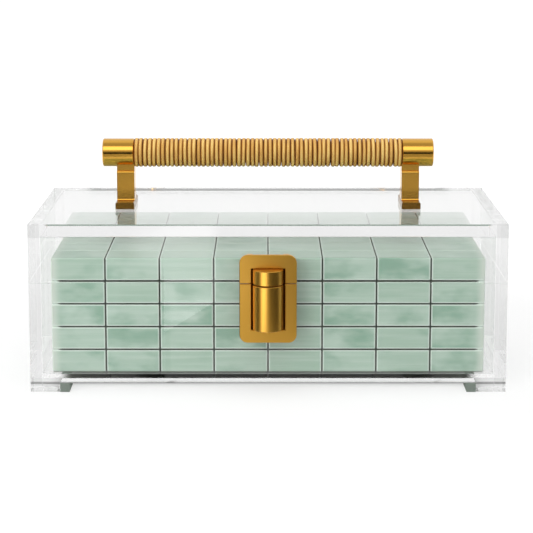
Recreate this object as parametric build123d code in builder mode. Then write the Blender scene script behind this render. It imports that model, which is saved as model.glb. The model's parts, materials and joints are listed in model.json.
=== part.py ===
from build123d import *

import os
from math import cos, radians, sin

# Clear acrylic case for a mahjong set: a tray and a hinged lid of the same clear sheet, a brass
# barrel latch let into the front, a brass and rattan handle on the lid, and the tiles inside.
# Millimetres. X runs along the case, the latch faces -Y, Z is up. The origin is under the middle
# of the case, on the surface that its feet stand on.

# ---------------------------------------------------------------- driving dimensions

# Acrylic case, over the outside faces
case_width = 263.5
case_depth = 129.0
case_height = 94.4  # feet to the lid's top face
wall = 6.5
lid_thickness = 7.5
base_thickness = 4.0
foot_height = 5.2
foot_side = 16.4
pad_width = 5.2  # anti-slip pad beside each foot
seam_height = 61.5  # top edge of the tray's walls
seam_gap = 0.06  # between the tray's walls and the lid's

# Tiles: length lies along X, width along Y, thickness along Z
tile_length = 30.0
tile_width = 22.0
tile_thickness = 13.0
tile_edge = 1.0
tile_gap = 0.1
tile_columns = 8
tile_rows = 5
tile_layers = 5
front_clearance = 4.0  # from the front wall to the tiles

# Latch, on the middle of the front
plate_width = 31.5
plate_bottom = 28.5
plate_top = 77.8
plate_thickness = 2.0
plate_corner = 4.65
plate_gap = 0.4  # between the two halves of the plate
plate_bevel = 0.35
window_width = 18.5
window_bottom = 35.7
window_top = 70.1
housing_sheet = 1.2
barrel_radius = 8.4
barrel_bottom_gap = 0.5
barrel_back_gap = 0.35
barrel_top_gap = 0.2  # below the seam
barrel_bevel = 0.3
stub_top_gap = 0.15
cam_plate_radius = 7.4
cam_plate_thickness = 3.0
cavity_radius = 6.6
cavity_depth = 8.3
hook_stem_radius = 2.0
hook_stem_engagement = 5.5  # inside the stub
hook_head_length = 10.0
hook_head_side = 2.6
hook_play = 0.4
keyhole_clearance = 0.5
latch_post_radius = 2.5
post_tongue_length = 6.0  # back from the post's axis, let into the housing's floor
post_rise = 0.1  # above the floor of the barrel's hollow, so the retainer leaves it free
washer_radius = 5.0
retainer_radius = 4.0
retainer_thickness = 1.8
retainer_length = 8.0
stud_radius = 1.25
stud_spread = 10.0
stud_edge_distance = 3.4  # from the plate's end
stud_tail = 2.8  # past the inside face of the wall
nut_across_flats = 5.0
nut_thickness = 2.0
stub_screw_radius = 1.5
stub_screw_head = 2.7
stub_screw_head_height = 1.6
stub_screw_length = 6.0
stub_screw_rise = 1.0  # above the stub's middle
stub_pad_width = 8.0

# Hinges, on the back
hinge_spread = 160.0  # centre to centre
hinge_width = 26.0
hinge_leaf_height = 11.0  # from the axis
hinge_leaf_thickness = 1.8
hinge_axis_offset = 3.0  # behind the case's back face
knuckle_radius = 2.8
knuckle_length = 8.6  # the lid's, in the middle
knuckle_gap = 0.3
hinge_pin_radius = 1.25
running_clearance = 0.05  # of a pin that the other piece turns on
lid_opening = 95.0  # degrees, where the stop heel meets the tray's leaf
heel_thickness = 2.0
heel_clearance = 0.05
hinge_screw_spread = 16.0
hinge_screw_drop = 7.0  # from the axis
hinge_screw_length = 6.5

# Handle, on the middle of the lid
handle_length = 190.6
bar_height = 30.9  # bar axis above the lid
cap_radius = 8.1
cap_length = 18.0
cap_end_thickness = 4.0
cap_bevel = 0.5
core_radius = 6.0
wrap_radius = 8.45
cane_rise = 0.55  # how far a turn of cane stands up from the groove beside it
cane_turns = 60
leg_width = 10.1
leg_inset = 13.2  # leg's middle, in from the end of the cap
leg_depth = 13.0
leg_flare = 1.2  # radius of the hollow curve at the leg's base
leg_shoulder = 1.2  # radius at the stem's top
leg_neck_depth = 10.0
leg_neck_height = 1.8
foot_plate_width = 10.8
foot_plate_depth = 30.0
foot_plate_height = 3.8
foot_plate_bevel = 0.5
bar_bolt_length = 28.0

# Screws: the shank's radius and the flat head's radius
small_shank, small_head = 1.25, 2.4
bolt_shank, bolt_head = 2.0, 3.9
driver_slot_width = 0.6
driver_slot_depth = 0.5
driver_slot_reach = 1.6  # its length over the head's radius
fit = 0.02  # around a screw or a spigot that is held fast
loose_fit = 0.1  # around a screw that passes through

# ---------------------------------------------------------------- places worked out from them

front_face = Plane.XZ.offset(case_depth / 2)  # local x is X, local y is Z, facing -Y
back_face = Plane.XZ.offset(-case_depth / 2)
wall_bottom = foot_height + base_thickness
lid_bottom = seam_height + seam_gap
lid_underside = case_height - lid_thickness
inner_width = case_width - 2 * wall
inner_depth = case_depth - 2 * wall

barrel_y = -case_depth / 2 - plate_thickness  # the barrel's axis lies in the plate's front face
plate_upper_bottom = seam_height + plate_gap
housing_back = barrel_y + barrel_radius + barrel_back_gap + housing_sheet
notch_width = window_width + 2 * housing_sheet + 2 * loose_fit
lower_housing_bottom = window_bottom - housing_sheet
upper_housing_top = window_top + housing_sheet
barrel_bottom = window_bottom + barrel_bottom_gap
barrel_top = seam_height - barrel_top_gap
cavity_top = barrel_top - cam_plate_thickness
cavity_floor = cavity_top - cavity_depth
latch_post_top = cavity_floor + post_rise
retainer_bottom = latch_post_top - retainer_length
stub_top = window_top - stub_top_gap
stub_bottom = plate_upper_bottom
stub_screw_z = (stub_bottom + stub_top) / 2 + stub_screw_rise
stub_screw_plane = Plane((0, housing_back, stub_screw_z), x_dir=(1, 0, 0), z_dir=(0, -1, 0))
hook_head_top = cavity_top - hook_play
lower_studs = [(x, plate_bottom + stud_edge_distance) for x in (-stud_spread, stud_spread)]
upper_studs = [(x, plate_top - stud_edge_distance) for x in (-stud_spread, stud_spread)]

hinge_y = case_depth / 2 + hinge_axis_offset
hinge_z = seam_height + seam_gap / 2
tapped_depth = hinge_screw_length - hinge_leaf_thickness + fit  # in the back walls
heel_length = (barrel_radius + plate_thickness - hinge_axis_offset) / sin(radians(lid_opening))

bar_z = case_height + bar_height
leg_x = handle_length / 2 - leg_inset
foot_plate_top = case_height + foot_plate_height
neck_bottom = bar_z - cap_radius - leg_neck_height
flare_centre = (leg_depth / 2 + leg_flare, foot_plate_top + leg_flare)
shoulder_centre = (leg_depth / 2 - leg_shoulder, neck_bottom - leg_shoulder)
wrap_length = handle_length - 2 * cap_length
cane_pitch = wrap_length / cane_turns
groove_radius = wrap_radius - cane_rise
# The bolts' heads lie flush in the undersides of the foot plates, which are bonded to the lid.
bolt_plane = Plane((0, 0, case_height), x_dir=(1, 0, 0), z_dir=(0, 0, -1))

SIDES = {"left": -1, "right": 1}
ENDS = {"front": -1, "back": 1}

os.makedirs("parts", exist_ok=True)


def save(piece, name):
    """Labels a finished piece and writes it as its own STEP file."""
    piece.part.label = name
    export_step(piece.part, f"parts/{name}.step")


def rectangle_between(low, high, mode=Mode.ADD):
    """A rectangle in the current sketch, from its low corner to its high corner."""
    with Locations(((low[0] + high[0]) / 2, (low[1] + high[1]) / 2)):
        Rectangle(high[0] - low[0], high[1] - low[1], mode=mode)


def barrel_disc(bottom, top, radius, mode=Mode.ADD):
    """A cylinder on the latch barrel's axis, in the current part."""
    with BuildSketch(Plane.XY.offset(bottom)) as disc:
        with Locations((0, barrel_y)):
            Circle(radius)
    extrude(disc.sketch, amount=top - bottom, mode=mode)


def countersunk_screw(shank_radius, head_radius, length):
    """A flat-headed screw: its head's face is at the origin and its shank runs along -Z."""
    with BuildPart() as screw:
        with BuildSketch(Plane.XZ):
            with BuildLine():
                Polyline(
                    (0, 0),
                    (head_radius, 0),
                    (shank_radius, shank_radius - head_radius),
                    (shank_radius, -length),
                    (0, -length),
                    close=True,
                )
            make_face()
        revolve(axis=Axis.Z)
        with BuildSketch(Plane.XY):
            Rectangle(driver_slot_reach * head_radius, driver_slot_width)
        extrude(amount=-driver_slot_depth, mode=Mode.SUBTRACT)
    return screw.part


# ---------------------------------------------------------------- acrylic tray

with BuildPart() as base_panel:
    with BuildSketch(Plane.XY.offset(foot_height)):
        Rectangle(case_width, case_depth)
    extrude(amount=base_thickness)
save(base_panel, "base_panel")

with BuildPart() as front_wall:
    with BuildSketch(front_face):
        rectangle_between((-case_width / 2, wall_bottom), (case_width / 2, seam_height))
        rectangle_between(
            (-notch_width / 2, lower_housing_bottom - loose_fit),
            (notch_width / 2, seam_height),
            mode=Mode.SUBTRACT,
        )
        with Locations(*lower_studs):
            Circle(stud_radius + loose_fit, mode=Mode.SUBTRACT)
    extrude(amount=-wall)
save(front_wall, "front_wall")

def back_panel(name, bottom, top, up):
    """The back of the tray or of the lid, tapped for the screws of its hinge leaves."""
    with BuildPart() as panel:
        with BuildSketch(back_face):
            rectangle_between((-case_width / 2, bottom), (case_width / 2, top))
        extrude(amount=wall)
        with BuildSketch(back_face):
            with Locations((0, hinge_z + up * hinge_screw_drop)):
                with GridLocations(hinge_spread, 0, 2, 1):
                    with GridLocations(hinge_screw_spread, 0, 2, 1):
                        Circle(small_shank + fit)
        extrude(amount=tapped_depth, mode=Mode.SUBTRACT)
    save(panel, name)


def side_panel(name, side, bottom, top):
    """One end of the tray or of the lid, between the front and the back."""
    with BuildPart() as panel:
        with BuildSketch(Plane.XY.offset(bottom)):
            with Locations((side * (case_width - wall) / 2, 0)):
                Rectangle(wall, inner_depth)
        extrude(amount=top - bottom)
    save(panel, name)


back_panel("back_wall", wall_bottom, seam_height, -1)
for side_name, side in SIDES.items():
    side_panel(f"{side_name}_wall", side, wall_bottom, seam_height)

for end_name, end in ENDS.items():
    for side_name, side in SIDES.items():
        with BuildPart() as foot:
            with BuildSketch():
                with Locations(
                    (side * (case_width - foot_side) / 2, end * (case_depth - foot_side) / 2)
                ):
                    Rectangle(foot_side, foot_side)
            extrude(amount=foot_height)
        save(foot, f"foot_{end_name}_{side_name}")

with BuildPart() as anti_slip_pads:
    with BuildSketch():
        with GridLocations(
            case_width - 2 * foot_side - pad_width, case_depth - foot_side, 2, 2
        ):
            Rectangle(pad_width, foot_side)
    extrude(amount=foot_height)
save(anti_slip_pads, "anti_slip_pads")

# ---------------------------------------------------------------- tiles

with BuildPart() as tile:
    Box(tile_length, tile_width, tile_thickness, align=(Align.CENTER, Align.CENTER, Align.MIN))
    fillet(tile.edges(), radius=tile_edge)

tile_pitch_x = tile_length + tile_gap
tile_pitch_y = tile_width + tile_gap
stack_depth = tile_rows * tile_pitch_y - tile_gap
stack_y = -inner_depth / 2 + front_clearance + stack_depth / 2

for layer in range(tile_layers):
    layer_plane = Plane((0, stack_y, wall_bottom + layer * tile_thickness))
    with BuildPart() as tile_layer:
        with Locations(layer_plane):
            with GridLocations(tile_pitch_x, tile_pitch_y, tile_columns, tile_rows):
                add(tile.part)
    save(tile_layer, f"tile_layer_{layer + 1}")

# ---------------------------------------------------------------- acrylic lid

with BuildPart() as lid_panel:
    with BuildSketch(Plane.XY.offset(lid_underside)):
        Rectangle(case_width, case_depth)
    extrude(amount=lid_thickness)
save(lid_panel, "lid_panel")

with BuildPart() as lid_front:
    with BuildSketch(front_face):
        rectangle_between((-case_width / 2, lid_bottom), (case_width / 2, lid_underside))
        rectangle_between(
            (-notch_width / 2, lid_bottom),
            (notch_width / 2, upper_housing_top + loose_fit),
            mode=Mode.SUBTRACT,
        )
        with Locations(*upper_studs):
            Circle(stud_radius + loose_fit, mode=Mode.SUBTRACT)
    extrude(amount=-wall)
save(lid_front, "lid_front")

back_panel("lid_back", lid_bottom, lid_underside, 1)
for side_name, side in SIDES.items():
    side_panel(f"lid_{side_name}", side, lid_bottom, lid_underside)

# ---------------------------------------------------------------- latch


def latch_plate(name, bottom, top, studs):
    """Half of the latch plate: a rounded plate with a window, cut at the seam, on two studs."""
    with BuildPart() as plate:
        with BuildSketch(front_face.offset(plate_thickness)):
            with Locations((0, (plate_bottom + plate_top) / 2)):
                RectangleRounded(plate_width, plate_top - plate_bottom, plate_corner)
            rectangle_between(
                (-window_width / 2, window_bottom), (window_width / 2, window_top), Mode.SUBTRACT
            )
            rectangle_between(
                (-latch_post_radius - fit, lower_housing_bottom - fit),
                (latch_post_radius + fit, window_bottom),
                Mode.SUBTRACT,
            )
            rectangle_between((-plate_width, bottom), (plate_width, top), Mode.INTERSECT)
        extrude(amount=-plate_thickness)
        chamfer(plate.faces().sort_by(Axis.Y)[0].edges(), length=plate_bevel)
        with BuildSketch(front_face):
            with Locations(*studs):
                Circle(stud_radius)
        extrude(amount=-(wall + stud_tail))
    save(plate, name)


def latch_tub(low, high, hollow_low, hollow_high):
    """The tub behind one half of the plate, in the current part: open at the front and the seam."""
    with BuildSketch(Plane.XY.offset(low)) as outside:
        rectangle_between(
            (-window_width / 2 - housing_sheet, -case_depth / 2),
            (window_width / 2 + housing_sheet, housing_back),
        )
    extrude(outside.sketch, amount=high - low)
    with BuildSketch(Plane.XY.offset(hollow_low)) as hollow:
        rectangle_between(
            (-window_width / 2, -case_depth / 2),
            (window_width / 2, housing_back - housing_sheet),
        )
    extrude(hollow.sketch, amount=hollow_high - hollow_low, mode=Mode.SUBTRACT)


def latch_nuts(name, studs):
    """Two hexagon nuts on the studs, against the inside face of the wall."""
    with BuildPart() as nuts:
        with BuildSketch(front_face.offset(-wall)):
            with Locations(*studs):
                RegularPolygon(nut_across_flats / 2, 6, major_radius=False)
                Circle(stud_radius + fit, mode=Mode.SUBTRACT)
        extrude(amount=-nut_thickness)
    save(nuts, name)


latch_plate("latch_lower_plate", plate_bottom, seam_height, lower_studs)
latch_plate("latch_upper_plate", plate_upper_bottom, plate_top, upper_studs)
latch_nuts("latch_lower_nuts", lower_studs)
latch_nuts("latch_upper_nuts", upper_studs)

with BuildPart() as latch_lower_housing:
    latch_tub(lower_housing_bottom, seam_height, window_bottom, seam_height)
    with BuildSketch(Plane.XY.offset(lower_housing_bottom)):
        rectangle_between(
            (-latch_post_radius - fit, -case_depth / 2),
            (latch_post_radius + fit, barrel_y + post_tongue_length + fit),
        )
    extrude(amount=housing_sheet, mode=Mode.SUBTRACT)
save(latch_lower_housing, "latch_lower_housing")

with BuildPart() as latch_upper_housing:
    latch_tub(lid_bottom, upper_housing_top, lid_bottom, window_top)
    with BuildSketch(stub_screw_plane):
        Circle(stub_screw_radius + loose_fit)
    extrude(amount=housing_sheet, mode=Mode.SUBTRACT)
save(latch_upper_housing, "latch_upper_housing")

# The turning barrel: a tube that turns on a post, hollow near its top for the hook's head.
with BuildPart() as latch_barrel:
    barrel_disc(barrel_bottom, barrel_top, barrel_radius)
    chamfer(latch_barrel.edges().filter_by(GeomType.CIRCLE), length=barrel_bevel)
    barrel_disc(
        barrel_bottom, cavity_floor, latch_post_radius + running_clearance, Mode.SUBTRACT
    )
    barrel_disc(cavity_floor, cavity_top, cavity_radius, Mode.SUBTRACT)
    barrel_disc(cavity_top, barrel_top, cam_plate_radius + fit, Mode.SUBTRACT)
save(latch_barrel, "latch_barrel")

# The cam plate closes the hollow. The hook's head drops through its keyhole along X, and a
# quarter turn of the barrel brings solid plate over the head.
with BuildPart() as latch_cam_plate:
    with BuildSketch(Plane.XY.offset(cavity_top)):
        with Locations((0, barrel_y)):
            Circle(cam_plate_radius)
            Rectangle(
                hook_head_length + 2 * keyhole_clearance,
                hook_head_side + 2 * keyhole_clearance,
                mode=Mode.SUBTRACT,
            )
            Circle(hook_stem_radius + keyhole_clearance, mode=Mode.SUBTRACT)
    extrude(amount=cam_plate_thickness)
save(latch_cam_plate, "latch_cam_plate")

# The post stands on a tongue let into the plate's edge and the floor of the tub behind it.
with BuildPart() as latch_post:
    barrel_disc(lower_housing_bottom, latch_post_top, latch_post_radius)
    with BuildSketch(Plane.XY.offset(lower_housing_bottom)):
        rectangle_between(
            (-latch_post_radius, barrel_y), (latch_post_radius, barrel_y + post_tongue_length)
        )
    extrude(amount=housing_sheet)
    barrel_disc(retainer_bottom, latch_post_top, small_shank + fit, Mode.SUBTRACT)
save(latch_post, "latch_post")

with BuildPart() as latch_washer:
    barrel_disc(window_bottom, barrel_bottom, washer_radius)
    barrel_disc(window_bottom, barrel_bottom, latch_post_radius + fit, Mode.SUBTRACT)
save(latch_washer, "latch_washer")

with BuildPart() as latch_post_screw:
    barrel_disc(retainer_bottom, latch_post_top, small_shank)
    barrel_disc(latch_post_top, latch_post_top + retainer_thickness, retainer_radius)
    with BuildSketch(Plane.XY.offset(latch_post_top + retainer_thickness)):
        with Locations((0, barrel_y)):
            Rectangle(driver_slot_reach * retainer_radius, driver_slot_width)
    extrude(amount=-driver_slot_depth, mode=Mode.SUBTRACT)
save(latch_post_screw, "latch_post_screw")

# The fixed stub above the barrel is held from behind and carries the hook.
with BuildPart() as latch_stub:
    barrel_disc(stub_bottom, stub_top, barrel_radius)
    chamfer(latch_stub.edges().filter_by(GeomType.CIRCLE), length=barrel_bevel)
    with BuildSketch(Plane.XY.offset(stub_bottom + barrel_bevel)):
        rectangle_between(
            (-stub_pad_width / 2, barrel_y), (stub_pad_width / 2, housing_back - housing_sheet)
        )
    extrude(amount=stub_top - stub_bottom - 2 * barrel_bevel)
    barrel_disc(
        stub_bottom, stub_bottom + hook_stem_engagement, hook_stem_radius + fit, Mode.SUBTRACT
    )
    with BuildSketch(stub_screw_plane):
        Circle(stub_screw_radius + fit)
    extrude(amount=stub_screw_length, mode=Mode.SUBTRACT)
save(latch_stub, "latch_stub")

with BuildPart() as latch_stub_screw:
    with BuildSketch(stub_screw_plane):
        Circle(stub_screw_radius)
    extrude(amount=stub_screw_length)
    with BuildSketch(stub_screw_plane):
        Circle(stub_screw_head)
    extrude(amount=-stub_screw_head_height)
save(latch_stub_screw, "latch_stub_screw")

with BuildPart() as latch_hook:
    barrel_disc(
        hook_head_top - hook_head_side, stub_bottom + hook_stem_engagement, hook_stem_radius
    )
    with BuildSketch(Plane.XY.offset(hook_head_top)):
        with Locations((0, barrel_y)):
            Rectangle(hook_head_length, hook_head_side)
    extrude(amount=-hook_head_side)
save(latch_hook, "latch_hook")

# ---------------------------------------------------------------- hinges


def knuckle_spans(centre):
    """The spans along X of one hinge's knuckles: the tray's two, then the lid's between them."""
    inner = knuckle_length / 2
    tray = [
        (centre - hinge_width / 2, centre - inner - knuckle_gap),
        (centre + inner + knuckle_gap, centre + hinge_width / 2),
    ]
    return tray, [(centre - inner, centre + inner)]


def knuckles(spans, bore_radius):
    """Adds one leaf's knuckles to it in the current part, and bores them for the pin."""
    for low, high in spans:
        with BuildSketch(Plane.YZ.offset(low)) as knuckle:
            with Locations((hinge_y, hinge_z)):
                Circle(knuckle_radius)
        extrude(knuckle.sketch, amount=high - low)
    with BuildSketch(Plane.YZ.offset(spans[0][0])) as bore:
        with Locations((hinge_y, hinge_z)):
            Circle(bore_radius)
    extrude(bore.sketch, amount=spans[-1][1] - spans[0][0], mode=Mode.SUBTRACT)


def leaf_plate(centre, up, cleared):
    """The flat leaf, up or down from the axis, cut back where the other leaf's knuckles turn."""
    reach = knuckle_radius + knuckle_gap
    with BuildSketch(back_face) as leaf:
        rectangle_between(
            (centre - hinge_width / 2, min(hinge_z, hinge_z + up * hinge_leaf_height)),
            (centre + hinge_width / 2, max(hinge_z, hinge_z + up * hinge_leaf_height)),
        )
        for low, high in cleared:
            rectangle_between(
                (low - knuckle_gap, min(hinge_z, hinge_z + up * reach)),
                (high + knuckle_gap, max(hinge_z, hinge_z + up * reach)),
                Mode.SUBTRACT,
            )
    extrude(leaf.sketch, amount=-hinge_leaf_thickness)


def leaf_screw_planes(up, sides):
    """Where the screws of the leaves on those sides enter, facing out of the leaf."""
    return [
        Plane(
            (
                side * hinge_spread / 2 + offset,
                case_depth / 2 + hinge_leaf_thickness,
                hinge_z + up * hinge_screw_drop,
            ),
            x_dir=(1, 0, 0),
            z_dir=(0, 1, 0),
        )
        for side in sides
        for offset in (-hinge_screw_spread / 2, hinge_screw_spread / 2)
    ]


def leaf_screw_holes(up, side):
    """Countersinks the leaf in the current part for its screws."""
    with Locations(*leaf_screw_planes(up, [side])):
        CounterSinkHole(
            small_shank + fit, small_head + fit, hinge_leaf_thickness, counter_sink_angle=90
        )


def turned_back(y, z):
    """Where a point beside the hinge axis on the open lid lies when the lid is shut."""
    c, s = cos(radians(lid_opening)), sin(radians(lid_opening))
    return hinge_y + y * c - z * s, hinge_z + y * s + z * c


# The lid's leaf has a heel, which lies against the tray's leaf when the lid is fully open.
heel_inner = hinge_leaf_thickness - hinge_axis_offset + heel_clearance
heel_outer = heel_inner + heel_thickness
heel_corners = [
    turned_back(heel_inner, 0),
    turned_back(heel_inner, -heel_length),
    turned_back(heel_outer, -heel_length),
    turned_back(heel_outer, 0),
]

for side_name, side in SIDES.items():
    hinge_x = side * hinge_spread / 2
    tray_spans, lid_spans = knuckle_spans(hinge_x)

    with BuildPart() as tray_leaf:
        leaf_plate(hinge_x, -1, lid_spans)
        knuckles(tray_spans, hinge_pin_radius + fit)
        leaf_screw_holes(-1, side)
    save(tray_leaf, f"hinge_{side_name}_tray_leaf")

    with BuildPart() as lid_leaf:
        leaf_plate(hinge_x, 1, tray_spans)
        with BuildSketch(Plane.YZ.offset(lid_spans[0][0])):
            with BuildLine():
                Polyline(*heel_corners, close=True)
            make_face()
        extrude(amount=knuckle_length)
        knuckles(lid_spans, hinge_pin_radius + running_clearance)
        leaf_screw_holes(1, side)
    save(lid_leaf, f"hinge_{side_name}_lid_leaf")

    with BuildPart() as hinge_pin:
        with BuildSketch(Plane.YZ.offset(hinge_x - hinge_width / 2)):
            with Locations((hinge_y, hinge_z)):
                Circle(hinge_pin_radius)
        extrude(amount=hinge_width)
    save(hinge_pin, f"hinge_{side_name}_pin")

for leaf_name, up in (("tray", -1), ("lid", 1)):
    with BuildPart() as hinge_screws:
        with Locations(*leaf_screw_planes(up, SIDES.values())):
            add(countersunk_screw(small_shank, small_head, hinge_screw_length))
    save(hinge_screws, f"hinge_{leaf_name}_screws")

# ---------------------------------------------------------------- handle

for side_name, side in SIDES.items():
    with BuildPart() as foot_plate:
        with BuildSketch(Plane.XY.offset(case_height)):
            with Locations((side * leg_x, 0)):
                Rectangle(foot_plate_width, foot_plate_depth)
        extrude(amount=foot_plate_height)
        chamfer(foot_plate.faces().sort_by(Axis.Z)[-1].edges(), length=foot_plate_bevel)
        with Locations(bolt_plane):
            with Locations((side * leg_x, 0)):
                CounterSinkHole(
                    bolt_shank + loose_fit, bolt_head + fit, foot_plate_height, counter_sink_angle=90
                )
    save(foot_plate, f"handle_foot_{side_name}")

    # Seen from the end, the leg has a flared base, a straight stem with rounded shoulders and a
    # narrow neck that ends in a saddle under the bar.
    with BuildPart() as leg:
        with BuildSketch(Plane.YZ.offset(side * leg_x - leg_width / 2)):
            with BuildLine():
                Polyline((0, bar_z), (0, foot_plate_top), (flare_centre[0], foot_plate_top))
                CenterArc(flare_centre, leg_flare, 180, 90)
                Line((leg_depth / 2, flare_centre[1]), (leg_depth / 2, shoulder_centre[1]))
                CenterArc(shoulder_centre, leg_shoulder, 0, 90)
                Polyline(
                    (shoulder_centre[0], neck_bottom),
                    (leg_neck_depth / 2, neck_bottom),
                    (leg_neck_depth / 2, bar_z),
                    (0, bar_z),
                )
            make_face()
            mirror(about=Plane.YZ)
        extrude(amount=leg_width)
        with BuildSketch(Plane.YZ.offset(side * leg_x - leg_width / 2)):
            with Locations((0, bar_z)):
                Circle(cap_radius + fit)
        extrude(amount=leg_width, mode=Mode.SUBTRACT)
        with BuildSketch(Plane.XY.offset(foot_plate_top)):
            with Locations((side * leg_x, 0)):
                Circle(bolt_shank + loose_fit)
        extrude(amount=bar_z - foot_plate_top, mode=Mode.SUBTRACT)
    save(leg, f"handle_leg_{side_name}")

    # Each cap is a cup over the end of the core, closed at its outer end.
    with BuildPart() as cap:
        with BuildSketch(Plane.YZ.offset(side * wrap_length / 2)):
            with Locations((0, bar_z)):
                Circle(cap_radius)
        extrude(amount=side * cap_length)
        chamfer(cap.edges().filter_by(GeomType.CIRCLE), length=cap_bevel)
        with BuildSketch(Plane.YZ.offset(side * wrap_length / 2)):
            with Locations((0, bar_z)):
                Circle(core_radius + fit)
        extrude(amount=side * (cap_length - cap_end_thickness), mode=Mode.SUBTRACT)
        with BuildSketch(Plane.XY.offset(bar_z - cap_radius)):
            with Locations((side * leg_x, 0)):
                Circle(bolt_shank + loose_fit)
        extrude(amount=cap_radius, mode=Mode.SUBTRACT)
    save(cap, f"handle_cap_{side_name}")

with BuildPart() as handle_core:
    with BuildSketch(Plane.YZ):
        with Locations((0, bar_z)):
            Circle(core_radius)
    extrude(amount=handle_length / 2 - cap_end_thickness, both=True)
    with BuildSketch(Plane.XY.offset(case_height)):
        with GridLocations(2 * leg_x, 0, 2, 1):
            Circle(bolt_shank + fit)
    extrude(amount=bar_bolt_length + fit, mode=Mode.SUBTRACT)
save(handle_core, "handle_core")

# The cane lies in close turns, each a low round ridge with a groove on both sides.
with BuildPart() as rattan_wrap:
    with BuildSketch(Plane.XZ):
        with BuildLine():
            start = (-wrap_length / 2, bar_z + groove_radius)
            for turn in range(cane_turns):
                left = turn * cane_pitch - wrap_length / 2
                ThreePointArc(
                    (left, bar_z + groove_radius),
                    (left + cane_pitch / 2, bar_z + wrap_radius),
                    (left + cane_pitch, bar_z + groove_radius),
                )
            Polyline(
                (wrap_length / 2, bar_z + groove_radius),
                (wrap_length / 2, bar_z + core_radius + fit),
                (-wrap_length / 2, bar_z + core_radius + fit),
                start,
            )
        make_face()
    revolve(axis=Axis((0, 0, bar_z), (1, 0, 0)))
save(rattan_wrap, "rattan_wrap")

with BuildPart() as handle_bar_bolts:
    with Locations(bolt_plane):
        with GridLocations(2 * leg_x, 0, 2, 1):
            add(countersunk_screw(bolt_shank, bolt_head, bar_bolt_length))
save(handle_bar_bolts, "handle_bar_bolts")
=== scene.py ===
import json
from math import pi, radians

import bpy
import numpy as np
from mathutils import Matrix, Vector


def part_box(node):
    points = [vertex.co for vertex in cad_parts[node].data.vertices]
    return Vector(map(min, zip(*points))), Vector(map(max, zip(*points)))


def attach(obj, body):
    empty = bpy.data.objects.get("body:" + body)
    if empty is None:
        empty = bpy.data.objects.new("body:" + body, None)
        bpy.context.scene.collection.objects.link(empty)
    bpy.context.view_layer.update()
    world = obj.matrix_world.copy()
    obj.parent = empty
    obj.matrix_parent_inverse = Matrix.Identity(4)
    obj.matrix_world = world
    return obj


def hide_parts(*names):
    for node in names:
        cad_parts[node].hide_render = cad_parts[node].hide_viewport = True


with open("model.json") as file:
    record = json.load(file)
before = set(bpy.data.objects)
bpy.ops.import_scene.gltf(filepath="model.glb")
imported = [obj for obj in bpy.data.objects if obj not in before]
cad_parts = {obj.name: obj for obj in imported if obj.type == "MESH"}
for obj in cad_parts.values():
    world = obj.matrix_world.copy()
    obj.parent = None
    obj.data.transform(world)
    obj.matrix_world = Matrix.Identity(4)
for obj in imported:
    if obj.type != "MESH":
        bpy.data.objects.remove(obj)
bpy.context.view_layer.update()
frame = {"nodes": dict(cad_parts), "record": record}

# A clear acrylic case of jade tiles, with a brass barrel latch and a cane-wrapped brass handle.
# Metres. X runs along the case, the latch faces -Y, Z is up, and the feet stand on Z = 0.

MM = 0.001

# ---------------------------------------------------------------- sizes, from the frame

# The clear case
CASE_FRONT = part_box("lid_front")[0].y
SEAM_HEIGHT = (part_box("front_wall")[1].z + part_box("lid_front")[0].z) / 2
LID_UNDER, LID_TOP = (corner.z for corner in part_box("lid_panel"))
BASE_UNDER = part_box("base_panel")[0].z
WALL_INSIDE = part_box("right_wall")[0].x
FOOT_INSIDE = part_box("foot_front_right")[0].x
FOOT_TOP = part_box("foot_front_right")[1].z
SKIN_GAP = 0.02 * MM  # so that clear faces never coincide with what stands on them
NOTCH_GAP = 0.1 * MM
EDGE_ROUND = 0.2 * MM
FACE_REACH = 0.08 * MM  # how near a flat face a point counts as on it

# The stack of tiles
TILES_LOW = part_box("tile_layer_1")[0]
TILES_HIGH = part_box("tile_layer_5")[1]
TILE_COUNT = [8, 5, 5]
TILE_PITCH = [
    (high - low) / count for low, high, count in zip(TILES_LOW, TILES_HIGH, TILE_COUNT)
]

# The cane on the handle
CANE_TURNS = 60
CANE_STEPS = 36  # rings of points in one turn
CANE_CROWN = 0.75 * MM  # how much lower the strand's shoulders are than its middle
CANE_ROUNDING = 2.4  # the power that the crown falls off by
CANE_DEPTH = 1.3 * MM
CANE_SINK = 0.08 * MM  # of the strand's middle under the bar's outer radius
CANE_HALF = 0.49  # half the strand's width, as a share of the pitch
CANE_SLIDE = 0.05  # uneven spacing, as a share of the pitch
CANE_SWELL = 0.015  # uneven half width, as a share of the pitch
CANE_UNEVEN = 0.035 * MM  # uneven height
CANE_SEED = 11
CANE_SECTION = [-1, -0.88, -0.62, -0.25, 0.25, 0.62, 0.88, 1, 0.9, -0.9]
CANE_FACE_POINTS = 8  # the first points of the section lie on its face, the rest underneath

# ---------------------------------------------------------------- shader maths


def srgb(red, green, blue):
    """A colour as a screen shows it, 0 to 255, as the light it stands for, 0 to 1."""
    shown = np.array([red, green, blue]) / 255
    light = np.where(shown <= 0.04045, shown / 12.92, ((shown + 0.055) / 1.055) ** 2.4)
    return (*light.tolist(), 1.0)


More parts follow.
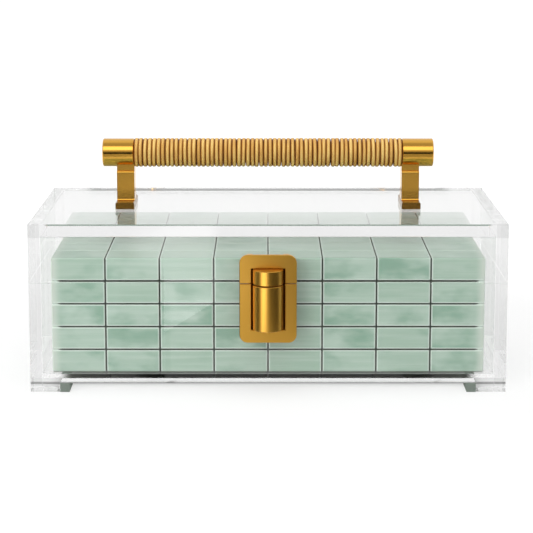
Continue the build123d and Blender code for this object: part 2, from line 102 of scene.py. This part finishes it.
class Wire:
    """One socket of a material. Arithmetic on it adds Math nodes and gives their result."""

    def __init__(self, finish, socket):
        self.finish, self.socket = finish, socket

    def math(self, operation, *others):
        values = dict(enumerate((self, *others)))
        return self.finish.node("Math", {"operation": operation}, values)

    def __add__(self, other):
        return self.math("ADD", other)

    def __radd__(self, other):
        return self.math("ADD", other)

    def __sub__(self, other):
        return self.math("SUBTRACT", other)

    def __rsub__(self, other):
        return self.finish.node("Math", {"operation": "SUBTRACT"}, {0: other, 1: self})

    def __mul__(self, other):
        return self.math("MULTIPLY", other)

    def __rmul__(self, other):
        return self.math("MULTIPLY", other)

    def __neg__(self):
        return self.math("MULTIPLY", -1)

    def __truediv__(self, other):
        return self.math("DIVIDE", other)


class Finish:
    """A material and its nodes. Every node comes from one method."""

    def __init__(self, name):
        self.material = bpy.data.materials.new(name)
        self.material.use_nodes = True
        self.tree = self.material.node_tree
        self.tree.nodes.clear()

    def node(self, kind, settings=None, values=None, out=0):
        """Adds a node: its settings first, then the values or wires of its sockets."""
        node = self.tree.nodes.new("ShaderNode" + kind)
        for name, value in (settings or {}).items():
            if name == "stops":
                self.set_stops(node.color_ramp, value)
            else:
                setattr(node, name, value)
        for name, value in (values or {}).items():
            if isinstance(value, Wire):
                self.tree.links.new(value.socket, node.inputs[name])
            else:
                node.inputs[name].default_value = value
        return Wire(self, node.outputs[out]) if node.outputs else None

    @staticmethod
    def set_stops(ramp, stops):
        while len(ramp.elements) < len(stops):
            ramp.elements.new(1.0)
        for element, (position, colour) in zip(ramp.elements, stops):
            element.position, element.color = position, colour

    def place(self):
        """Where a point of the piece is, in metres, in the piece's own frame."""
        return self.node("TexCoord", out="Object")

    def split(self, vector):
        """The three numbers of a vector."""
        first = self.node("SeparateXYZ", values={0: vector})
        return [Wire(self, socket) for socket in first.socket.node.outputs]

    def joined(self, x, y, z):
        return self.node("CombineXYZ", values={0: x, 1: y, 2: z})

    def stretched(self, vector, x, y, z):
        """The vector with each of its numbers multiplied."""
        return self.node("VectorMath", {"operation": "MULTIPLY"}, {0: vector, 1: (x, y, z)})

    def noise(self, vector, detail=2.0, roughness=0.5):
        values = {"Vector": vector, "Scale": 1.0, "Detail": detail, "Roughness": roughness}
        return self.node("TexNoise", values=values)

    def ramp(self, factor, *stops):
        return self.node("ValToRGB", {"stops": stops}, {0: factor})

    def step(self, value, low, high):
        """0 below low, 1 above high, and smooth between."""
        settings = {"interpolation_type": "SMOOTHSTEP"}
        return self.node("MapRange", settings, {"Value": value, 1: low, 2: high})

    def mix(self, factor, first, second):
        """A colour between two others: the first at 0, the second at 1."""
        return self.node("Mix", {"data_type": "RGBA"}, {0: factor, 6: first, 7: second}, out=2)

    def bump(self, height, distance, strength=1.0):
        values = {"Height": height, "Distance": distance, "Strength": strength}
        return self.node("Bump", values=values)

    def surface(self, **values):
        """The Principled shader. A socket is named with _ for each space."""
        named = {name.replace("_", " "): value for name, value in values.items()}
        return self.node("BsdfPrincipled", values=named)

    def done(self, shader):
        self.node("OutputMaterial", values={"Surface": shader})
        return self.material


# ---------------------------------------------------------------- finishes

# How much of its reflection a face of clear sheet loses, at the seam and inside the side walls
SEAM_CLEARNESS = 0.95
INNER_CLEARNESS = 0.6

# The strip of the tray's floor, along X, that has no reflection: its middle, half width and fade
CONTACT_MIDDLE = -15 * MM
CONTACT_HALF = 10 * MM
CONTACT_FADE = 4 * MM

# Painted shade on the case's front: how grey it makes the cut ends of the walls, feet and lid, how
# dark the painted line along the tray's lower front edge is, and how far each reaches from its
# plane
WALL_END_PAINTED_SHADE = 0.2
LID_END_PAINTED_SHADE = 0.23
LOWER_EDGE_PAINTED_LINE = 0.8
FRONT_REACH = 0.4 * MM
LOWER_EDGE_REACH = 0.45 * MM


def clear_acrylic():
    """Polished cast sheet. Light from lamps passes straight through, without caustics.

    The two flat rims that meet at the seam are left almost without reflection, so the closed
    case reads as one wall. So are a strip of the tray's floor under the tiles and, in part, the
    inner faces of the side walls. The cut ends of the sheets on the case's front, which are
    looked through lengthwise, are made a little grey with painted shade, a painted dark line
    runs along the tray's lower front edge, and the lid's front top edge carries a painted
    reflection: a dark green line.
    """
    f = Finish("clear_acrylic")
    x, y, z = f.split(f.place())
    sideways = x.math("ABSOLUTE")

    def near(value, reach):
        return 1 - f.step(value.math("ABSOLUTE"), reach, 2 * reach)

    seam = SEAM_CLEARNESS * near(z - SEAM_HEIGHT, FACE_REACH)
    inner = INNER_CLEARNESS * near(sideways - WALL_INSIDE, FACE_REACH)
    from_middle = (y - CONTACT_MIDDLE).math("ABSOLUTE")
    contact = near(z - TILES_LOW[2], FACE_REACH)
    contact = contact * f.step(TILES_HIGH[0] - sideways, 0.0, 2 * CONTACT_FADE)
    contact = contact * (1 - f.step(from_middle, CONTACT_HALF, CONTACT_HALF + CONTACT_FADE))

    # Painted shade: greys the cut ends of the walls, feet and lid on the case's front, and draws a
    # dark line along the tray's lower front edge
    front = near(y - CASE_FRONT, FRONT_REACH)
    wall_ends = f.step(sideways, WALL_INSIDE - 0.1 * MM, WALL_INSIDE + 0.1 * MM)
    over_feet = f.step(z, FOOT_TOP - 0.2 * MM, FOOT_TOP + 0.2 * MM)
    feet = f.step(sideways, FOOT_INSIDE, FOOT_INSIDE + 0.1 * MM) * (1 - over_feet)
    lid_end = f.step(z, LID_UNDER - 0.1 * MM, LID_UNDER + 0.1 * MM)
    painted_lower_line = near(z - BASE_UNDER, LOWER_EDGE_REACH)
    painted_shade_level = 1 - WALL_END_PAINTED_SHADE * wall_ends.math("MAXIMUM", feet) * front
    painted_shade_level = painted_shade_level * (1 - LID_END_PAINTED_SHADE * lid_end * front)
    painted_shade_level = painted_shade_level * (1 - LOWER_EDGE_PAINTED_LINE * painted_lower_line * front)
    grey = f.joined(painted_shade_level, painted_shade_level, painted_shade_level)

    # Painted reflection: a dark green line along the lid's front top edge, where it lies over the
    # tiles
    to_edge = (CASE_FRONT - y).math("ABSOLUTE") + (LID_TOP - z).math("ABSOLUTE")
    over_tiles = 1 - f.step(sideways, TILES_HIGH[0], TILES_HIGH[0] + 3 * MM)
    edge = (1 - f.step(to_edge, 0.5 * MM, 1.0 * MM)) * over_tiles
    painted_reflection_green = srgb(78, 100, 84)
    glass = f.surface(
        Base_Color=f.mix(edge, grey, painted_reflection_green), Roughness=0.0, IOR=1.49,
        Transmission_Weight=1.0,
    )
    paths = f.node("LightPath").socket.node.outputs
    from_lamp = Wire(f, paths["Is Shadow Ray"]).math("MAXIMUM", Wire(f, paths["Is Diffuse Ray"]))
    factor = from_lamp.math("MAXIMUM", seam).math("MAXIMUM", contact).math("MAXIMUM", inner)
    through = f.node("BsdfTransparent")
    return f.done(f.node("MixShader", values={0: factor, 1: glass, 2: through}))


def joint_distance(place, low, pitch, count):
    """How far a place is from the nearest plane where two tiles meet along an axis."""
    steps = (place - low) / pitch
    plane = steps.math("ROUND").math("MAXIMUM", 1).math("MINIMUM", count - 1)
    return (steps - plane).math("ABSOLUTE") * pitch


# From the planes where tiles meet, each painted tone (the painted shade in the joints and where
# they cross, and the painted highlight of the rims) is full up to the first distance and gone at
# the second, and so is the painted shade from the underside of the stack
JOINT_SHADE_REACH = 0.3 * MM, 0.65 * MM
CROSSING_SHADE_REACH = 0.9 * MM, 1.3 * MM
RIM_HIGHLIGHT_REACH = 0.7 * MM, 1.4 * MM
UNDERSIDE_SHADE_REACH = 0.15 * MM, 0.8 * MM

# How far the painted shade on the top and the painted light at the ends reach into the stack
TOP_REACH = 0.6 * MM, 0.1 * MM
END_REACH = 6.0 * MM
SIDE_REACH = 0.9 * MM


def jade():
    """Pale green resin with darker clouds and fine level streaks, a little different in each tile.

    It has painted shade where tiles meet, and a painted highlight as a pale rim beside each
    joint. The stack's ends are paler with painted light, its top is greyer with painted shade
    and its underside dark with painted shade. The painted joint shade is narrower where the
    joints reach the top.
    """
    f = Finish("jade")
    low_tone, high_tone = srgb(160, 189, 169), srgb(179, 203, 187)
    streak_tone, cloud_tone = srgb(200, 216, 204), srgb(120, 163, 138)
    painted_end_light, painted_end_face_light, painted_rim_highlight = srgb(206, 217, 205), srgb(214, 227, 217), srgb(226, 238, 229)
    painted_top_shade, painted_joint_shade, painted_underside_shade = srgb(112, 134, 118), srgb(34, 46, 24), srgb(104, 112, 96)

    x, y, z = f.split(f.place())
    column, row, layer = (
        ((place - TILES_LOW[axis]) / TILE_PITCH[axis]).math("FLOOR")
        for axis, place in enumerate((x, y, z))
    )
    each = f.node("TexWhiteNoise", values={"Vector": f.joined(column, row, layer)}, out="Value")
    shifted = f.joined(x * 34 + column * 3.7, y * 40 + row * 5.1, z * 62 + layer * 2.3)
    clouds = f.noise(shifted, detail=3.0, roughness=0.55)
    streaks = f.noise(f.joined(x * 18 + layer * 7.7, y * 150, z * 420))
    patch = f.step(clouds + 0.3 * (each - 0.5), 0.47, 0.76)
    plain_tile = f.mix(each, low_tone, high_tone)
    streaked = f.mix(0.4 * f.step(streaks, 0.35, 0.75), plain_tile, streak_tone)
    cloudy = f.mix(0.8 * patch, streaked, cloud_tone)

    # Painted light: paler near the stack's ends, and palest on the end faces
    to_end = (x - TILES_LOW[0]).math("MINIMUM", TILES_HIGH[0] - x)
    off_end = f.step(to_end, 0.0, END_REACH)
    off_side = f.step(to_end, 0.0, SIDE_REACH)
    # Painted shade: greyer on the stack's top faces, and dark on its underside
    top = f.step(z, TILES_HIGH[2] - TOP_REACH[0], TILES_HIGH[2] - TOP_REACH[1])
    underside = 1 - f.step(z - TILES_LOW[2], *UNDERSIDE_SHADE_REACH)

    gaps = [
        joint_distance(place, TILES_LOW[axis], TILE_PITCH[axis], TILE_COUNT[axis])
        for axis, place in enumerate((x, y, z))
    ]
    # Painted highlight: a pale rim beside each joint. Painted shade: dark in the joints and where
    # they cross, narrower at the top and fading towards the stack's ends
    rim = 1 - f.step(gaps[0].math("MINIMUM", gaps[1]).math("MINIMUM", gaps[2]), *RIM_HIGHLIGHT_REACH)
    crosswise = gaps[0] + 0.25 * MM * top
    lengthwise = gaps[1] + 0.45 * MM * top
    level = gaps[2] + (1 - off_end) * MM
    nearest = crosswise.math("MINIMUM", lengthwise).math("MINIMUM", level)
    painted_crossing_shade = 1 - f.step(gaps[0] + gaps[2], *CROSSING_SHADE_REACH)
    dark = (1 - f.step(nearest, *JOINT_SHADE_REACH)).math("MAXIMUM", painted_crossing_shade)

    rimmed = f.mix(0.7 * rim, f.mix(off_end, painted_end_light, cloudy), painted_rim_highlight)
    shaded = f.mix(0.5 * top, f.mix(off_side, painted_end_face_light, rimmed), painted_top_shade)
    jointed = f.mix(0.96 * dark, shaded, painted_joint_shade)
    shader = f.surface(
        Base_Color=f.mix(underside, jointed, painted_underside_shade),
        Roughness=0.3 + 0.65 * dark.math("MAXIMUM", underside), IOR=1.5, Subsurface_Weight=0.1,
        Subsurface_Radius=(1.0, 1.0, 0.8), Subsurface_Scale=1.0 * MM,
    )
    return f.done(shader)


def brass(name, roughness, low_tone, high_tone):
    """Yellow brass under clear lacquer, the brushing too fine to see as lines."""
    f = Finish(name)
    place = f.place()
    brushing = f.noise(f.stretched(place, 4000, 4000, 160))
    tone = f.noise(f.stretched(place, 60, 60, 60))
    shader = f.surface(
        Base_Color=f.mix(tone, low_tone, high_tone), Metallic=1.0,
        Roughness=roughness + 0.08 * brushing, Coat_Weight=0.3, Coat_Roughness=roughness,
        Normal=f.bump(brushing, 0.004 * MM, 0.5),
    )
    return f.done(shader)


def cane_strand():
    """Split cane: fibres along the strand, varnished. Its middle is lighter and its edges darker: a
    painted highlight along the strand's crown and painted shade at its edges.
    """
    f = Finish("cane_strand")
    along, across, _ = f.split(f.node("TexCoord", out="UV"))
    fibres = f.noise(f.joined(along * 9.0, across * 16, 0.0), detail=3.0)
    patches = f.noise(f.joined(along * 2.3, across * 0.6, 4.0))
    # Painted highlight along the strand's middle and painted shade towards its edges; the fibres
    # and patches are the cane's own colour
    middle = 1 - f.step((across - 0.5).math("ABSOLUTE"), 0.14, 0.5)
    tone = 0.68 * middle + 0.25 * fibres + patches - 0.5
    colour = f.ramp(
        tone, (0.0, srgb(98, 52, 12)), (0.3, srgb(152, 95, 29)), (0.6, srgb(203, 146, 54)),
        (0.9, srgb(234, 196, 112)),
    )
    shader = f.surface(
        Base_Color=colour, Roughness=0.5, Coat_Weight=0.1, Coat_Roughness=0.15,
        Normal=f.bump(fibres, 0.05 * MM, 0.5),
    )
    return f.done(shader)


def plain(name, low, high, scale, roughness, metallic=0.0):
    """A simple finish whose colour wanders a little between two, and its roughness with it."""
    f = Finish(name)
    wander = f.noise(f.stretched(f.place(), scale, scale, scale), detail=3.0)
    shader = f.surface(
        Base_Color=f.mix(wander, low, high), Metallic=metallic,
        Roughness=roughness + 0.1 * wander, Normal=f.bump(wander, 0.02 * MM, 0.4),
    )
    return f.done(shader)


# ---------------------------------------------------------------- pieces


def new_piece(name, points, faces, body, finish, replaced=()):
    """A mesh piece from its points and faces, riding on a body, with its finish."""
    mesh = bpy.data.meshes.new(name)
    mesh.from_pydata(np.asarray(points).tolist(), [], np.asarray(faces).tolist())
    mesh.update()
    piece = bpy.data.objects.new(name, mesh)
    bpy.context.scene.collection.objects.link(piece)
    mesh.materials.append(finish)
    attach(piece, body)
    if replaced:
        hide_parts(*replaced)
    return piece


def lattice_solid(xs, ys, zs, filled, inset):
    """The skin of a solid made of the filled cells of an uneven lattice.

    filled[i, j, k] belongs to the cell between xs[i] and xs[i + 1], and so on. A face is put
    wherever a filled cell meets an empty one, wound so that it points to the empty one, and
    every face is then moved into the solid by the inset.
    """
    cells = np.pad(filled, 1)
    corners = np.stack(np.meshgrid(xs, ys, zs, indexing="ij"), -1)
    shape = np.array(corners.shape[:3])
    number = np.arange(shape.prod()).reshape(shape)
    faces, outward = [], []
    for axis in range(3):
        here = np.moveaxis(cells, axis, 0)
        ids = np.moveaxis(number, axis, 0)
        for sign in (-1, 1):
            solid = here[1:] if sign < 0 else here[:-1]
            empty = here[:-1] if sign < 0 else here[1:]
            at, u, v = np.nonzero((solid & ~empty)[:, 1:-1, 1:-1])
            ring = [ids[at, u, v], ids[at, u + 1, v], ids[at, u + 1, v + 1], ids[at, u, v + 1]]
            quads = np.stack(ring, 1)
            if (sign > 0) == (axis == 1):
                quads = quads[:, ::-1]
            faces.append(quads)
            outward.append(np.tile(sign * np.eye(3)[axis], (len(quads), 1)))
    faces, outward = np.concatenate(faces), np.concatenate(outward)
    push = np.zeros((shape.prod(), 3))
    for corner in range(4):
        np.add.at(push, faces[:, corner], outward)
    used, faces = np.unique(faces, return_inverse=True)
    points = corners.reshape(-1, 3)[used] - inset * np.sign(push[used])
    return points, faces.reshape(-1, 4)


def between(values, low, high):
    """Which cells of a lattice's axis lie between two places."""
    middle = (np.array(values[1:]) + np.array(values[:-1])) / 2
    return (middle > low) & (middle < high)


def block(xs, ys, zs, low, high):
    """The cells of a lattice inside one box."""
    inside = [between(v, low[i], high[i]) for i, v in enumerate((xs, ys, zs))]
    return inside[0][:, None, None] & inside[1][None, :, None] & inside[2][None, None, :]


def acrylic_shell(name, nodes, housing, body, finish):
    """One bonded shell of clear sheet from its flat panels, cut away for the latch housing.

    The sides of all the boxes make one uneven lattice, whose cells are filled where a panel is.
    """
    boxes = [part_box(node) for node in nodes]
    notch_low, notch_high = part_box(housing)
    side = Vector((NOTCH_GAP, 0, 0))
    notch = (notch_low - side, notch_high + side)
    corners = [corner for box in boxes + [notch] for corner in box]
    axes = [sorted({round(corner[axis], 7) for corner in corners}) for axis in range(3)]
    filled = np.any([block(*axes, low, high) for low, high in boxes], axis=0)
    filled &= ~block(*axes, *notch)
    points, faces = lattice_solid(*axes, filled, SKIN_GAP)
    shell = new_piece(name, points, faces, body, finish, nodes)
    weigh_edges(shell.data)
    bevel = shell.modifiers.new("polished_edges", "BEVEL")
    bevel.width, bevel.segments, bevel.limit_method = EDGE_ROUND, 2, "WEIGHT"


def weigh_edges(mesh):
    """Gives the sharp edges that a bevel should round a weight of 1: all but the seam's."""
    ends = np.zeros(2 * len(mesh.edges), int)
    mesh.edges.foreach_get("vertices", ends)
    points = np.zeros(3 * len(mesh.vertices))
    mesh.vertices.foreach_get("co", points)
    heights = points.reshape(-1, 3)[ends.reshape(-1, 2), 2]
    on_seam = np.all(np.abs(heights - SEAM_HEIGHT) < FACE_REACH, axis=1)
    facing = {}
    for face in mesh.polygons:
        for key in face.edge_keys:
            facing.setdefault(key, set()).add(tuple(np.round(face.normal).astype(int)))
    sharp = [len(facing[tuple(sorted(pair))]) > 1 for pair in ends.reshape(-1, 2).tolist()]
    weight = mesh.attributes.new("bevel_weight_edge", "FLOAT", "EDGE")
    weight.data.foreach_set("value", (np.array(sharp) & ~on_seam).astype(np.float32))


def cane_wrapping(name, node, finish):
    """One strand of split cane wound along a bar.

    At turn t the strand is at angle 2 pi t round the bar, from the top over the back. It lies
    straight over the front and moves along by one pitch behind, so its middle is at
    x = low + pitch * (floor(t) + s(2.5 * fraction(t)) - 1 / 2) with s(u) = u * u * (3 - 2 u)
    for u up to 1. The first and the last turn lie against the caps. Across the strand, at v
    from -1 to 1, its face is at radius - sink - crown * |v|**2.4, and it goes down to the bar at
    both edges. Its spacing, width and height wander between chance values, two to a turn.
    """
    low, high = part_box(node)
    radius = (high.z - low.z) / 2
    centre = (low.y + high.y) / 2, (low.z + high.z) / 2
    pitch = (high.x - low.x) / CANE_TURNS
    t = np.linspace(0, CANE_TURNS + 1, (CANE_TURNS + 1) * CANE_STEPS + 1)[:, None]
    chance = np.random.default_rng(CANE_SEED)
    knots = chance.normal(size=(3, CANE_TURNS * 2 + 4))
    places = np.arange(knots.shape[1]) / 2
    slide, width, height = (np.interp(t, places, row) for row in knots)
    v = np.array(CANE_SECTION)
    fall = np.abs(v) ** CANE_ROUNDING * CANE_CROWN
    fall[CANE_FACE_POINTS:] = CANE_DEPTH
    wound = np.clip(t, 1, CANE_TURNS)
    step = np.clip(2.5 * (wound - np.floor(wound)), 0, 1)
    moved = np.floor(wound) + step * step * (3 - 2 * step)
    x = low.x + pitch * (moved - 0.5) + CANE_SLIDE * pitch * slide
    x = x + v * pitch * (CANE_HALF + CANE_SWELL * width)
    x = np.clip(x, low.x + 0.01 * MM, high.x - 0.01 * MM)
    r = radius - CANE_SINK + CANE_UNEVEN * np.clip(height, -2, 2) - fall
    turn = 2 * pi * t
    points = np.stack([x, centre[0] + r * np.sin(turn), centre[1] + r * np.cos(turn)], -1)
    rings, sides = x.shape
    ring = np.arange(rings - 1)[:, None] * sides
    side = np.arange(sides)[None]
    after = (side + 1) % sides
    faces = np.stack([ring + side, ring + sides + side, ring + sides + after, ring + after], -1)
    strand = new_piece(
        name, points.reshape(-1, 3), faces.reshape(-1, 4), "lid", finish, [node]
    )
    uv = np.stack(np.broadcast_arrays(t, (v + 1) / 2), -1).reshape(-1, 2)
    corners = np.zeros(len(strand.data.loops), int)
    strand.data.loops.foreach_get("vertex_index", corners)
    layer = strand.data.uv_layers.new(name="strand")
    layer.data.foreach_set("uv", uv[corners].astype(np.float32).ravel())
    strand.data.shade_smooth()


ACRYLIC = clear_acrylic()
JADE = jade()
YELLOW = (0.73, 0.385, 0.048, 1), (0.79, 0.425, 0.064, 1)  # the brass between these two tones
BRASS = brass("satin_brass", 0.3, *YELLOW)
POLISHED = brass("polished_brass", 0.13, *YELLOW)
# The handle's feet and the sunk latch housings are darker copies of the brass: painted shade. The
# housings' brass is also rougher
FOOT_PAINTED_SHADE_BRASS = brass("foot_brass_painted_shade", 0.2, (0.24, 0.12, 0.012, 1), (0.28, 0.14, 0.018, 1))
HOUSING_PAINTED_SHADE_BRASS = plain("housing_brass_painted_shade", srgb(92, 54, 18), srgb(112, 68, 24), 300, 0.5, 1.0)
STEEL = plain("pin_steel", srgb(165, 165, 163), srgb(190, 190, 188), 400, 0.35, 1.0)
RUBBER = plain("pad_rubber", srgb(108, 118, 110), srgb(140, 150, 141), 2200, 0.75)
WOOD = plain("core_wood", srgb(96, 58, 24), srgb(124, 78, 36), 120, 0.6)
CANE = cane_strand()
FINISHES = {
    "acrylic": ACRYLIC, "tile": JADE, "brass": BRASS, "pin": STEEL, "pad": RUBBER,
    "core": WOOD, "cane": CANE,
}


def finish_of(name, slot):
    """The finish of a part: its slot's, apart from the handle's brass, and the brass of the
    handle's feet and of the sunk housings, darkened with painted shade.
    """
    if name.startswith("handle_foot"):
        return FOOT_PAINTED_SHADE_BRASS
    if name.startswith("handle_") and slot == "brass":
        return POLISHED
    if name.endswith("_housing"):
        return HOUSING_PAINTED_SHADE_BRASS
    return FINISHES[slot]


for part in frame["record"]["subparts"]:
    node = frame["nodes"][part["node"]]
    node.data.materials.clear()
    node.data.materials.append(finish_of(part["node"], part["material_slot"]))

TRAY_PANELS = ["base_panel", "front_wall", "back_wall", "left_wall", "right_wall"]
TRAY_FEET = ["foot_front_left", "foot_front_right", "foot_back_left", "foot_back_right"]
acrylic_shell("tray_shell", TRAY_PANELS + TRAY_FEET, "latch_lower_housing", "base", ACRYLIC)
acrylic_shell(
    "lid_shell", ["lid_panel", "lid_front", "lid_back", "lid_left", "lid_right"],
    "latch_upper_housing", "lid", ACRYLIC,
)

cane_wrapping("cane_strand", "rattan_wrap", CANE)

# ---------------------------------------------------------------- studio

CAMERA_PLACE = (-0.87 * MM, -1.02745, 0.26798)
CAMERA_PITCH = radians(9.512)
CAMERA_LENS = 120.96
SENSOR_WIDTH = 36.0
SHIFT_DOWN = -0.12

# How bright the world is: in reflections from in front and from behind, through clear sheet,
# where it is seen straight, and as the light that falls on things
FRONT_WORLD = 0.5
REAR_WORLD = 0.92
THROUGH_WORLD = 0.92
SEEN_WORLD = 1.05
FILL_WORLD = 0.52

# The floor's glow near the case and far from it; how much of it a painted shadow takes away
# under the tiles; and how much painted shade takes away through clear sheet, and through clear
# sheet in front of the case
GLOW = 0.64
FAR_GLOW = 0.84
UNDER_TILES_PAINTED_SHADOW = 0.9
THROUGH_SHEET_PAINTED_SHADE = 0.16
FRONT_PAINTED_SHADE = 0.6
FLOOR_HALF = 6.0

SOFT_EDGE = 0.2  # of a card, as a share of its width and height


def upright(start, end, low, high):
    """The corners of an upright card between two places on the floor."""
    return [(*start, low), (*end, low), (*end, high), (*start, high)]


def lying(low, high, height):
    """The corners of a card lying over the floor."""
    return [
        (low[0], low[1], height), (high[0], low[1], height), (high[0], high[1], height),
        (low[0], high[1], height),
    ]


def leaning(left, right, lower, upper):
    """The corners of a card along X that leans: each of its long edges at a (y, z)."""
    return [(left, *lower), (right, *lower), (right, *upper), (left, *upper)]


def studio_sheet(name, corners, finish):
    """A flat sheet of the studio from its four corners, with UV from 0 to 1 each way."""
    mesh = bpy.data.meshes.new(name)
    mesh.from_pydata(corners, [], [(0, 1, 2, 3)])
    layer = mesh.uv_layers.new(name="sheet")
    layer.data.foreach_set("uv", np.array([0, 0, 1, 0, 1, 1, 0, 1], np.float32))
    mesh.materials.append(finish)
    sheet = bpy.data.objects.new(name, mesh)
    bpy.context.scene.collection.objects.link(sheet)
    return sheet


def studio_floor():
    """A wide white floor. It takes a soft shadow, and looks white where it has none.

    Under the stack of tiles a painted shadow darkens it towards the middle. Through clear sheet
    painted shade makes it a little greyer than open floor, and more so where it lies in front of
    the case.
    """
    f = Finish("studio_floor")
    paths = f.node("LightPath").socket.node.outputs
    camera, glossy, through = (
        Wire(f, paths[name]) for name in ("Is Camera Ray", "Is Glossy Ray", "Is Transmission Ray")
    )
    seen = camera.math("MAXIMUM", glossy).math("MAXIMUM", through)
    x, y, _ = f.split(f.place())
    # Painted shadow under the stack of tiles
    inside_x = f.step(TILES_HIGH[0] + 4 * MM - x.math("ABSOLUTE"), 0.0, 16 * MM)
    inside_y = f.step(y - TILES_LOW[1], 4 * MM, 12 * MM)
    painted_shadow_mask = inside_x * inside_y * (1 - f.step(y, TILES_HIGH[1], TILES_HIGH[1] + 14 * MM))
    away = f.step((x * x + y * y).math("SQRT"), 0.16, 0.5)
    # Painted shade on the floor seen through clear sheet
    in_front = f.step(-y, 0.1, 0.25)
    painted_shade_through = (THROUGH_SHEET_PAINTED_SHADE + (FRONT_PAINTED_SHADE - THROUGH_SHEET_PAINTED_SHADE) * in_front) * through
    glow = (GLOW + (FAR_GLOW - GLOW) * away) * (1 - UNDER_TILES_PAINTED_SHADOW * painted_shadow_mask) * (1 - painted_shade_through)
    lit = f.node("BsdfDiffuse", values={"Color": (0.35, 0.35, 0.35, 1)})
    real = f.node("BsdfDiffuse", values={"Color": (0.8, 0.8, 0.8, 1)})
    glowing = f.node("Emission", values={"Color": (1, 1, 1, 1), "Strength": glow})
    shown = f.node("AddShader", values={0: lit, 1: glowing})
    finish = f.done(f.node("MixShader", values={0: seen, 1: real, 2: shown}))
    low, high = (-FLOOR_HALF, -FLOOR_HALF), (FLOOR_HALF, FLOOR_HALF)
    studio_sheet("studio_floor", lying(low, high, 0.0), finish)


def studio_world():
    """White where the camera or glass looks, a plain fill light, and dimmer in reflections."""
    world = bpy.data.worlds.new("studio_world")
    world.use_nodes = True
    tree = world.node_tree
    tree.nodes.clear()
    output = tree.nodes.new("ShaderNodeOutputWorld")
    background = tree.nodes.new("ShaderNodeBackground")
    background.inputs["Color"].default_value = (1, 1, 1, 1)
    paths = tree.nodes.new("ShaderNodeLightPath")

    def blended(factor, first, second):
        blend = tree.nodes.new("ShaderNodeMix")
        for number, value in ((0, factor), (2, first), (3, second)):
            if isinstance(value, bpy.types.NodeSocket):
                tree.links.new(value, blend.inputs[number])
            else:
                blend.inputs[number].default_value = value
        return blend.outputs[0]

    way = tree.nodes.new("ShaderNodeTexCoord").outputs["Generated"]
    parts = tree.nodes.new("ShaderNodeSeparateXYZ")
    tree.links.new(way, parts.inputs[0])
    behind = tree.nodes.new("ShaderNodeMapRange")
    tree.links.new(parts.outputs["Y"], behind.inputs["Value"])
    behind.inputs[1].default_value, behind.inputs[2].default_value = -0.1, 0.2
    reflected = blended(behind.outputs[0], FRONT_WORLD, REAR_WORLD)
    mirrored = blended(paths.outputs["Is Transmission Ray"], reflected, THROUGH_WORLD)
    seen = blended(paths.outputs["Is Glossy Ray"], SEEN_WORLD, mirrored)
    strength = blended(paths.outputs["Is Diffuse Ray"], seen, FILL_WORLD)
    tree.links.new(strength, background.inputs["Strength"])
    tree.links.new(background.outputs[0], output.inputs["Surface"])
    bpy.context.scene.world = world


def flag(name, corners, brightness):
    """A card that only shows in reflections, to give the metal something to mirror."""
    f = Finish(name)
    across, up, _ = f.split(f.node("TexCoord", out="UV"))
    solid = f.step(across.math("PINGPONG", 0.5), 0.0, SOFT_EDGE)
    solid = solid * f.step(up.math("PINGPONG", 0.5), 0.0, SOFT_EDGE)
    glow = f.node("Emission", values={"Color": (1, 1, 1, 1), "Strength": brightness})
    clear = f.node("BsdfTransparent")
    finish = f.done(f.node("MixShader", values={0: solid, 1: clear, 2: glow}))
    card = studio_sheet(name, corners, finish)
    card.visible_camera = card.visible_diffuse = card.visible_shadow = False
    card.visible_transmission = card.visible_volume_scatter = False


def softbox(name, place, target, size, power):
    """A rectangular lamp that lights the object but isn't mirrored in it."""
    lamp = bpy.data.lights.new(name, "AREA")
    lamp.shape, lamp.energy = "RECTANGLE", power
    lamp.size, lamp.size_y = size
    box = bpy.data.objects.new(name, lamp)
    box.location = place
    aim = Vector(target) - Vector(place)
    box.rotation_euler = aim.to_track_quat("-Z", "Y").to_euler()
    box.visible_glossy = False
    bpy.context.scene.collection.objects.link(box)


def studio_camera():
    """A long lens from a little above the case, tilted down to it."""
    lens = bpy.data.cameras.new("camera")
    lens.lens, lens.sensor_width, lens.sensor_fit = CAMERA_LENS, SENSOR_WIDTH, "HORIZONTAL"
    lens.shift_y = SHIFT_DOWN
    camera = bpy.data.objects.new("camera", lens)
    camera.location = CAMERA_PLACE
    camera.rotation_euler = (pi / 2 - CAMERA_PITCH, 0, 0)
    bpy.context.scene.collection.objects.link(camera)
    bpy.context.scene.camera = camera


studio_floor()
studio_world()
softbox("top_softbox", (0, -0.1, 1.1), target=(0, 0, 0.05), size=(1.2, 0.9), power=6.5)
softbox("front_softbox", (-0.75, -0.95, 0.55), target=(0, 0, 0.08), size=(0.8, 0.5), power=5.0)

# Cards for the whole case, then for the handle, then for the latch's upright barrel
flag("floor_card", lying((-1.2, -1.0), (1.2, -0.02), 0.002), brightness=0.4)
flag("right_dark_card", upright((1.0, -0.85), (0.8, 0.1), 0.0, 0.6), brightness=0.12)
flag("leg_card", lying((-0.5, -0.98), (0.5, -0.52), 0.003), brightness=0.75)
flag("far_dark_card", upright((-0.8, -0.85), (1.2, -0.85), -0.06, 0.32), brightness=0.01)
flag("high_card", leaning(-1.1, 0.45, (-1.0, 0.52), (-0.7, 1.3)), brightness=2.1)
flag("latch_light_card", upright((-0.03, -0.3), (-0.09, -0.12), -0.015, 0.08), brightness=2.6)
flag("latch_dark_card", upright((0.005, -0.29), (0.1, -0.04), -0.015, 0.08), brightness=0.04)
flag("latch_side_card", upright((-0.09, -0.13), (-0.05, -0.05), -0.015, 0.08), brightness=0.03)
studio_camera()
bpy.context.scene.view_settings.view_transform = "Standard"

# Light crosses many faces of clear sheet, one behind another
bpy.context.scene.cycles.max_bounces = 48
bpy.context.scene.cycles.transmission_bounces = 32
bpy.context.scene.cycles.transparent_max_bounces = 24
bpy.context.scene.cycles.glossy_bounces = 32
